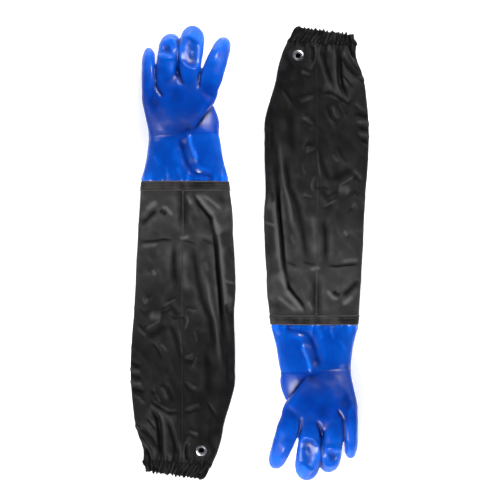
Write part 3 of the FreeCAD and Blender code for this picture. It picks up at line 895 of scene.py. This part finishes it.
def sleeve_surface(places, outs=0.0):
    """The sleeve's folded surface at each place, moved outwards by each row's amount."""
    places = np.asarray(places, float)
    base = sleeve_base(places)
    along = sleeve_base(places + 1.0) - sleeve_base(places - 1.0)
    around = np.roll(base, -1, axis=1) - np.roll(base, 1, axis=1)
    normals = np.cross(around, along)
    normals /= np.linalg.norm(normals, axis=2, keepdims=True)
    steps = np.linalg.norm(np.diff(sleeve_base(places[:1])[0], axis=0), axis=1)
    share = np.concatenate([[0], np.cumsum(steps)]) / (steps.sum() + steps[0])
    flat = base.reshape(-1, 3)
    up = smooth((normals[:, :, 2] + 0.05) / 0.5)
    near_band = smooth((places - BAND_CALM_START) / BAND_CALM_LENGTH)[:, None]
    lift = sleeve_folds(flat).reshape(up.shape) * up * (1 - BAND_CALM_SHARE * near_band)
    lift += gathers(places, share)
    lift += layered_waves(flat, SWELLS).reshape(up.shape) * (1 - near_band)
    rows_out = np.broadcast_to(np.asarray(outs, float), places.shape)[:, None]
    points = base + normals * (lift + rows_out)[:, :, None]
    points[:, :, 1] -= 0.8 * gathers(places, share) * smooth(into_hem(places) / 16.0)[:, None]
    flatten_at_eyelet(points, rows_out, up > 0.5)
    points[:, :, 2] = np.maximum(points[:, :, 2], SLEEVE_FLOOR_GAP)
    return points


def tube_mesh(name, rows):
    """A tube through rows of points, open at both ends."""
    return mesh_object(name, rows.reshape(-1, 3), grid_faces(rows.shape[0], rows.shape[1]))


def sampled(rows, row, column):
    """The point at fractional rows and columns of a grid."""
    row = np.clip(np.asarray(row, float), 0, len(rows) - 1.001)
    i, t = row.astype(int), (row % 1)[:, None]
    column = np.asarray(column, float)
    j, s = column.astype(int) % rows.shape[1], (column % 1)[:, None]
    k = (j + 1) % rows.shape[1]
    first = rows[i, j] * (1 - s) + rows[i, k] * s
    return first * (1 - t) + (rows[i + 1, j] * (1 - s) + rows[i + 1, k] * s) * t


def seam_ribbon(rows, profile):
    """A strip along the seam, over the sleeve's rows, from (offset across, offset outwards) pairs."""
    seam = np.array(SEAM_PATH, float)
    lines = [[] for _ in profile]
    for i, row in enumerate(rows):
        top = row[:TOP_COLUMNS]
        x = np.interp(top[TOP_COLUMNS // 2, 1], seam[:, 1], seam[:, 0])
        for line, (across, out) in zip(lines, profile):
            column = np.interp(x + across, top[:, 0], np.arange(TOP_COLUMNS))
            line.append(sampled(rows, [i], [column])[0] + (0, 0, out))
    return np.stack([np.array(line) for line in lines], axis=1)


def strip_mesh(name, grid):
    """A closed strip through rows of points, closed round its columns and at both ends."""
    return mesh_object(name, grid.reshape(-1, 3), tube_faces(*grid.shape[:2]))


def rib(half, height, under):
    """The profile of a low rounded bead, over and then under."""
    shares = ((-1, 0), (-0.6, 0.8), (0, 1), (0.6, 0.8), (1, 0))
    over = [(across * half, up * height) for across, up in shares]
    return over + [(0.7 * half, -under), (-0.7 * half, -under)]


def sleeve_mesh(name, rows):
    """The sleeve's tube, with the eyelet's hole through it."""
    points = rows.reshape(-1, 3)
    faces = grid_faces(rows.shape[0], rows.shape[1])
    along, away = eyelet_offsets(points[faces].mean(axis=1))
    keep = (away > EYELET_HOLE) | (along < -EYELET_DEEP)
    used, faces = used_only(points, faces[keep])
    return mesh_object(name, points[used], faces)


def casing_rings():
    """The hem casing's rows: over its outside, round the fold at its end, and back inside."""
    profile = []
    for share in np.linspace(0, 1, 20):
        out = CASING_LIFT + CASING_PUFF * math.sin(math.pi * share) ** 0.5
        profile.append((CASING_END - (CASING_END - CASING_START) * share, out))
    for angle in np.linspace(0.3, math.pi, 7):
        out = CASING_TURN_MIDDLE + CASING_TURN_HEIGHT * math.cos(angle)
        profile.append((CASING_START - CASING_TURN_LENGTH * math.sin(angle), out))
    for share in (0.1, 0.4, 0.7, 1.0):
        profile.append((CASING_START + share * CASING_RETURN, CASING_INSIDE))
    places, outs = np.array(profile).T
    return sleeve_surface(places, outs)


def band_rings():
    """The joint band's rows."""
    places, outs = np.array(BAND_PROFILE).T
    return sleeve_surface(places, outs)


def inner_tape_rings():
    """The joint's inner tape, a thin ring against the sleeve's inside."""
    low, high = (corner[1] for corner in box_mm("joint_inner_tape"))
    over = [(place, INNER_TAPE_OUTER) for place in np.linspace(low, high, 6)]
    back = [(place, INNER_TAPE_INNER) for place in np.linspace(high, low, 6)]
    places, outs = np.array(over + back + over[:1]).T
    return sleeve_surface(places, outs)


def stitch_points(line, centre):
    """One stitch's points: rings along its line, smaller at its ends, on the side away from the centre."""
    along_y = np.array((0, 1, 0))
    ways = np.gradient(line, axis=0)
    out = np.cross(ways / np.linalg.norm(ways, axis=1)[:, None], along_y)
    out /= np.linalg.norm(out, axis=1)[:, None]
    out *= np.sign(((line - centre) * out).sum(axis=1))[:, None]
    swell = np.sqrt(np.clip(1 - np.linspace(-1, 1, STITCH_RINGS) ** 4, 0.06, 1))
    angles = np.linspace(0, 2 * math.pi, STITCH_SIDES, endpoint=False)[:, None]
    rings = []
    for point, outward, share in zip(line, out, swell):
        circle = np.cos(angles) * outward + np.sin(angles) * along_y
        rings.append(point + outward * STITCH_LIFT * share + circle * STITCH_R * share)
    points = np.concatenate(rings)
    points[:, 2] = np.maximum(points[:, 2], STITCH_FLOOR_GAP)
    return points


def stitch_mesh(name):
    """The stitches round the casing, each a short thread with rounded ends."""
    rows = sleeve_surface([STITCH_PLACE - 1.0, STITCH_PLACE, STITCH_PLACE + 1.0], STITCH_BASE)
    row = rows[1]
    lengths = np.linalg.norm(np.roll(row, -1, axis=0) - row, axis=1)
    total = lengths.sum()
    at = np.concatenate([[0], np.cumsum(lengths)])
    parts = []
    for i in range(STITCH_COUNT):
        middle = total * (i + 0.5) / STITCH_COUNT
        distances = middle + STITCH_STEP * np.linspace(-1, 1, STITCH_RINGS)
        columns = np.interp(distances % total, at, np.arange(len(at)))
        line = sampled(rows, np.ones(STITCH_RINGS), columns)
        parts.append((stitch_points(line, row.mean(axis=0)), tube_faces(STITCH_RINGS, STITCH_SIDES)))
    return mesh_object(name, *joined(parts))


def finish_piece(obj, glove, slot, nodes, materials):
    """Moves a piece made as glove A's to its glove, and gives it its material, slot, body and CAD nodes."""
    store_cavity(obj.data, cavity_of(obj.data))
    if glove != "glove_a_":
        points, _ = mesh_arrays(obj.data)
        set_points(obj.data, turned(points, glove))
    obj.data.materials.append(materials[slot])
    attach(obj, glove + "arm")
    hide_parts(*[glove + node for node in nodes])
    return obj


def add_sleeve(glove, materials):
    """One glove's sleeve with its hem, seam, band and eyelet."""
    rows = sleeve_surface(np.linspace(SLEEVE_START, SLEEVE_END, SLEEVE_ROWS))
    weld_profile = rib(WELD_HALF_WIDTH, WELD_HEIGHT, WELD_UNDER)
    across = np.linspace(-TAPE_HALF_WIDTH, TAPE_HALF_WIDTH, TAPE_COLUMNS)
    tape_profile = [(x, TAPE_OUTER) for x in across] + [(x, TAPE_INNER) for x in across[::-1]]
    sleeve = sleeve_mesh(glove + "sleeve", rows)
    finish_piece(sleeve, glove, "sleeve_fabric", ["sleeve_tube"], materials)
    pieces = (
        (tube_mesh(glove + "casing", casing_rings()), "sleeve_fabric", ["hem_casing", "hem_elastic"]),
        (tube_mesh(glove + "band", band_rings()), "band", ["joint_band"]),
        (tube_mesh(glove + "inner_tape", inner_tape_rings()), "seam_tape", ["joint_inner_tape"]),
        (
            strip_mesh(glove + "seam_weld", seam_ribbon(rows[WELD_ROWS], weld_profile)),
            "sleeve_fabric",
            ["sleeve_seam_weld"],
        ),
        (
            strip_mesh(glove + "seam_tape", seam_ribbon(rows[TAPE_ROWS], tape_profile)),
            "seam_tape",
            ["sleeve_seam_tape"],
        ),
        (stitch_mesh(glove + "stitches"), "thread", ["hem_stitches"]),
    )
    made = [finish_piece(obj, glove, slot, nodes, materials) for obj, slot, nodes in pieces]


def dress_nodes(materials):
    """The CAD nodes that stay in sight get their materials."""
    slots = {
        "eyelet_barrel": "eyelet_metal",
        "eyelet_washer": "eyelet_metal",
        "eyelet_patch": "seam_tape",
    }
    for glove in GLOVES:
        for node, slot in slots.items():
            data = frame["nodes"][glove + node].data
            data.materials.clear()
            data.materials.append(materials[slot])


# ---------------------------------------------------------------- materials

def new_material(name, specular=None):
    """A material with its node tree and its main shader, with its specular level where one is given."""
    material = bpy.data.materials.new(name)
    material.use_nodes = True
    tree = material.node_tree
    shader = tree.nodes["Principled BSDF"]
    if specular is not None:
        shader.inputs["Specular IOR Level"].default_value = specular
    return material, tree, shader


def texture(tree, kind, scale, detail=3.0):
    """A noise or cell texture in the row's own frame, its scale in features per metre."""
    coordinates = tree.nodes.new("ShaderNodeTexCoord")
    node = tree.nodes.new(kind)
    node.inputs["Scale"].default_value = scale
    node.inputs["Detail"].default_value = detail
    tree.links.new(coordinates.outputs["Object"], node.inputs["Vector"])
    return node


def noise(tree, scale, detail=3.0):
    """The value of a noise texture."""
    return texture(tree, "ShaderNodeTexNoise", scale, detail).outputs["Fac"]


def ramp(tree, source, low, high, start=0, end=1):
    """Maps a value to the range start to end between low and high."""
    node = tree.nodes.new("ShaderNodeMapRange")
    node.inputs["From Min"].default_value = low
    node.inputs["From Max"].default_value = high
    node.inputs["To Min"].default_value = start
    node.inputs["To Max"].default_value = end
    tree.links.new(source, node.inputs["Value"])
    return node.outputs["Result"]


def blended(tree, share, first, second):
    """Two colours mixed by a value: each is an output, or red, green and blue."""
    node = tree.nodes.new("ShaderNodeMix")
    node.data_type = "RGBA"
    for name, colour in (("A", first), ("B", second)):
        if isinstance(colour, tuple):
            node.inputs[name].default_value = (*colour, 1)
        else:
            tree.links.new(colour, node.inputs[name])
    tree.links.new(share, node.inputs["Factor"])
    return node.outputs["Result"]


def add_bump(tree, shader, layers):
    """Bumps from (texture value, distance in millimetres) layers, one over the other."""
    below = None
    for source, distance in layers:
        node = tree.nodes.new("ShaderNodeBump")
        node.inputs["Distance"].default_value = distance * MM
        node.inputs["Strength"].default_value = 1.0
        tree.links.new(source, node.inputs["Height"])
        if below:
            tree.links.new(below, node.inputs["Normal"])
        below = node.outputs["Normal"]
    tree.links.new(below, shader.inputs["Normal"])


def lengthwise_share(tree, start_place, end_place):
    """0 at one place along a glove and 1 at the other: metres from the middle, less than 0 by the hand."""
    # Its colour uses are painted light: paler towards the band on the sleeve, and paler on the fingers than on the
    # palm.
    coordinates = tree.nodes.new("ShaderNodeTexCoord")
    parts = tree.nodes.new("ShaderNodeSeparateXYZ")
    tree.links.new(coordinates.outputs["Object"], parts.inputs[0])
    side = tree.nodes.new("ShaderNodeMath")
    side.operation = "SIGN"
    tree.links.new(parts.outputs["X"], side.inputs[0])
    place = tree.nodes.new("ShaderNodeMath")
    place.operation = "MULTIPLY"
    tree.links.new(side.outputs[0], place.inputs[0])
    tree.links.new(parts.outputs["Y"], place.inputs[1])
    return ramp(tree, place.outputs[0], start_place, end_place)


def painted_fold_light(tree, base, fold_shade, ridge_highlight, lows, highs):
    """The base colour with painted light: over to the painted fold shade between the low depths, and to the
    painted ridge highlight between the high.
    """
    depth = tree.nodes.new("ShaderNodeAttribute")
    depth.attribute_name = "cavity"
    lower = blended(tree, ramp(tree, depth.outputs["Fac"], *lows), base, fold_shade)
    return blended(tree, ramp(tree, depth.outputs["Fac"], *highs), lower, ridge_highlight)


def rough_pvc():
    """The second dip over the hand: semi-matte blue with a sandy grain, glossier at the tips, which are painted
    paler as if lit.
    """
    material, tree, shader = new_material("rough_pvc", 0.24)
    patches = ramp(tree, noise(tree, 45, 4), 0.35, 0.65)
    palm = blended(tree, patches, (0.0001, 0.042, 0.37), (0.0002, 0.062, 0.46))
    # painted light: the fingers' colours are paler than the palm's, standing in for the light that they catch
    fingers = blended(tree, patches, (0.0008, 0.084, 0.54), (0.0020, 0.126, 0.68))
    tips = lengthwise_share(tree, -0.25, -0.33)
    base = blended(tree, tips, palm, fingers)
    # painted shade in the folds and painted highlight on the ridges
    colour = painted_fold_light(tree, base, (0.0001, 0.011, 0.12), (0.006, 0.20, 0.95), (0.9, -1.3), (2.2, 4.4))
    tree.links.new(colour, shader.inputs["Base Color"])
    tree.links.new(ramp(tree, tips, 0, 1, 0.26, 0.2), shader.inputs["Roughness"])
    add_bump(tree, shader, [(noise(tree, 420), 0.07), (noise(tree, 1100, 2), 0.012)])
    return material


def smooth_pvc():
    """The first dip, left bare on the gauntlet: glossy blue with faint flow marks, with painted fold shade and
    ridge highlight.
    """
    material, tree, shader = new_material("smooth_pvc", 0.42)
    patches = ramp(tree, noise(tree, 30, 4), 0.35, 0.65)
    base = blended(tree, patches, (0.0002, 0.043, 0.34), (0.0005, 0.068, 0.45))
    # painted shade in the folds and painted highlight on the ridges
    colour = painted_fold_light(tree, base, (0.0001, 0.018, 0.18), (0.002, 0.14, 0.80), (0, -1.5), (0.3, 1.8))
    tree.links.new(colour, shader.inputs["Base Color"])
    flow = noise(tree, 130, 4)
    tree.links.new(ramp(tree, flow, 0.3, 0.7, 0.1, 0.2), shader.inputs["Roughness"])
    add_bump(tree, shader, [(flow, 0.6), (noise(tree, 700, 2), 0.01)])
    return material


def sleeve_fabric():
    """Black woven fabric under a thin coating, painted paler towards the band as if lit there, with fine handling
    creases.
    """
    material, tree, shader = new_material("sleeve_fabric", 0.15)
    depths = (0.2, -1.6), (0.2, 1.9)
    patches = ramp(tree, noise(tree, 22, 5), 0.35, 0.65)
    shade = blended(tree, patches, (0.0014, 0.0014, 0.0015), (0.0050, 0.0050, 0.0052))
    paler = blended(tree, patches, (0.016, 0.016, 0.017), (0.038, 0.038, 0.039))
    # painted shade in the folds and painted highlight on the ridges
    shade = painted_fold_light(tree, shade, (0.0004, 0.0004, 0.0004), (0.020, 0.020, 0.021), *depths)
    paler = painted_fold_light(tree, paler, (0.0010, 0.0010, 0.0010), (0.10, 0.10, 0.102), *depths)
    # painted light: darker towards the hem and paler towards the band
    tree.links.new(blended(tree, lengthwise_share(tree, 0.17, -0.06), shade, paler), shader.inputs["Base Color"])
    soft = noise(tree, 70, 5)
    tree.links.new(ramp(tree, soft, 0.3, 0.7, 0.5, 0.62), shader.inputs["Roughness"])
    creases = texture(tree, "ShaderNodeTexVoronoi", 38)
    creases.feature = "DISTANCE_TO_EDGE"
    edge = ramp(tree, creases.outputs["Distance"], 0.0, 0.12)
    add_bump(tree, shader, [(edge, 0.08), (soft, 0.6), (noise(tree, 1800, 1), 0.02)])
    return material


def band_rubber():
    """The welded band round the joint: black, satin, ribbed by its mesh, with painted fold shade and ridge
    highlight.
    """
    material, tree, shader = new_material("band", 0.25)
    cloud = noise(tree, 34)
    base = blended(tree, ramp(tree, cloud, 0.42, 0.6), (0.002, 0.0017, 0.002), (0.036, 0.033, 0.032))
    # painted shade in the folds and painted highlight on the ridges
    colour = painted_fold_light(tree, base, (0.001, 0.001, 0.001), (0.060, 0.058, 0.055), (0, -1), (0.2, 1.4))
    tree.links.new(colour, shader.inputs["Base Color"])
    grain = noise(tree, 900, 2)
    tree.links.new(ramp(tree, grain, 0.3, 0.7, 0.38, 0.55), shader.inputs["Roughness"])
    add_bump(tree, shader, [(cloud, 0.5), (grain, 0.05)])
    return material


def plain_cloth(name, dark, light, scale):
    """Tape or thread: two near shades with a fine woven grain."""
    material, tree, shader = new_material(name)
    grain = noise(tree, scale, 2)
    tree.links.new(blended(tree, ramp(tree, grain, 0.4, 0.6), dark, light), shader.inputs["Base Color"])
    shader.inputs["Roughness"].default_value = 0.75
    add_bump(tree, shader, [(grain, 0.15)])
    return material


def eyelet_metal():
    """Nickel-plated steel, a little scuffed."""
    material, tree, shader = new_material("eyelet_metal")
    scuff = noise(tree, 900, 4)
    colour = blended(tree, ramp(tree, scuff, 0.4, 0.65), (0.62, 0.62, 0.66), (0.3, 0.3, 0.34))
    tree.links.new(colour, shader.inputs["Base Color"])
    tree.links.new(ramp(tree, scuff, 0.35, 0.7, 0.16, 0.4), shader.inputs["Roughness"])
    shader.inputs["Metallic"].default_value = 1.0
    add_bump(tree, shader, [(scuff, 0.05)])
    return material


def floor_material():
    """A plain white studio sheet, lit a little from below."""
    material, _, shader = new_material("floor", 0.1)
    shader.inputs["Base Color"].default_value = (0.86, 0.86, 0.86, 1)
    shader.inputs["Emission Color"].default_value = (1, 1, 1, 1)
    shader.inputs["Emission Strength"].default_value = 0.5
    shader.inputs["Roughness"].default_value = 0.9
    return material


# ---------------------------------------------------------------- studio

FLOOR_HALF = 3.0
# The camera's height, the width that it sees at the gloves' middle height, its place, and its sensor's width
CAMERA_HEIGHT = 2.6
SEEN_WIDTH, SEEN_AT_HEIGHT = 0.769, 0.03
CAMERA_X, CAMERA_Y = 0.0004, 0.0046
SENSOR_MM = 36
# The lights of glove A's half, turned half a turn for glove B's: (name, place, size, power, spread, aim)
LIGHTS = (
    ("hand_box", (0.25, 1.0, 0.8), (0.9, 0.35), 1.5, 38, (-0.1, 0.27, 0)),
    ("end_box", (0, 1.8, 1.3), (1.6, 0.5), 3, 180, (0, 0, 0)),
    ("corner_box", (1.4, 1.4, 1.2), (1.3, 1.8), 16, 180, (0, 0, 0)),
)


def add_floor():
    """The white sheet under the gloves."""
    corners = [(x * FLOOR_HALF, y * FLOOR_HALF, 0) for x, y in ((-1, -1), (1, -1), (1, 1), (-1, 1))]
    mesh = bpy.data.meshes.new("floor")
    mesh.from_pydata(corners, [], [(0, 1, 2, 3)])
    obj = bpy.data.objects.new("floor", mesh)
    bpy.context.scene.collection.objects.link(obj)
    obj.data.materials.append(floor_material())


def add_light(name, place, size, power, spread, target):
    """A soft area light at the place, aimed at the target, its light kept to an angle in degrees."""
    light = bpy.data.lights.new(name, "AREA")
    light.shape = "RECTANGLE"
    light.size, light.size_y = size
    light.energy = power
    light.spread = math.radians(spread)
    obj = bpy.data.objects.new(name, light)
    bpy.context.scene.collection.objects.link(obj)
    obj.location = place
    obj.rotation_euler = (Vector(target) - Vector(place)).to_track_quat("-Z", "Y").to_euler()


def add_surround():
    """A surround that is bright low down and dark overhead."""
    world = bpy.data.worlds.new("surround")
    world.use_nodes = True
    tree = world.node_tree
    background = tree.nodes["Background"]
    background.inputs["Color"].default_value = (1, 1, 1, 1)
    coordinates = tree.nodes.new("ShaderNodeTexCoord")
    parts = tree.nodes.new("ShaderNodeSeparateXYZ")
    tree.links.new(coordinates.outputs["Generated"], parts.inputs[0])
    tree.links.new(ramp(tree, parts.outputs["Z"], 0.3, 0.95, 0.4, 0.04), background.inputs["Strength"])
    bpy.context.scene.world = world


def add_studio():
    """The surround, and long soft boxes round the pair."""
    bpy.context.scene.view_settings.view_transform = "Standard"
    add_surround()
    for side in (-1, 1):
        for name, (x, y, z), size, power, spread, (aim_x, aim_y, aim_z) in LIGHTS:
            place = (x * side, y * side, z)
            add_light(name, place, size, power, spread, (aim_x * side, aim_y * side, aim_z))


def add_camera():
    """Straight above the pair, with the pair's length up the picture."""
    camera = bpy.data.cameras.new("camera")
    camera.sensor_width = SENSOR_MM
    camera.lens = SENSOR_MM * (CAMERA_HEIGHT - SEEN_AT_HEIGHT) / SEEN_WIDTH
    obj = bpy.data.objects.new("camera", camera)
    bpy.context.scene.collection.objects.link(obj)
    obj.location = (CAMERA_X, CAMERA_Y, CAMERA_HEIGHT)
    bpy.context.scene.camera = obj


def main():
    """Makes the materials, the studio and both gloves."""
    materials = {
        "rough_pvc": rough_pvc(),
        "smooth_pvc": smooth_pvc(),
        "sleeve_fabric": sleeve_fabric(),
        "band": band_rubber(),
        "seam_tape": plain_cloth("seam_tape", (0.03, 0.03, 0.032), (0.05, 0.05, 0.052), 1500),
        "thread": plain_cloth("thread", (0.012, 0.012, 0.012), (0.03, 0.03, 0.03), 2500),
        "eyelet_metal": eyelet_metal(),
    }
    add_floor()
    add_studio()
    add_camera()
    pieces = hand_pieces()
    for glove in GLOVES:
        add_hand(glove, pieces, materials)
        add_sleeve(glove, materials)
    dress_nodes(materials)


main()
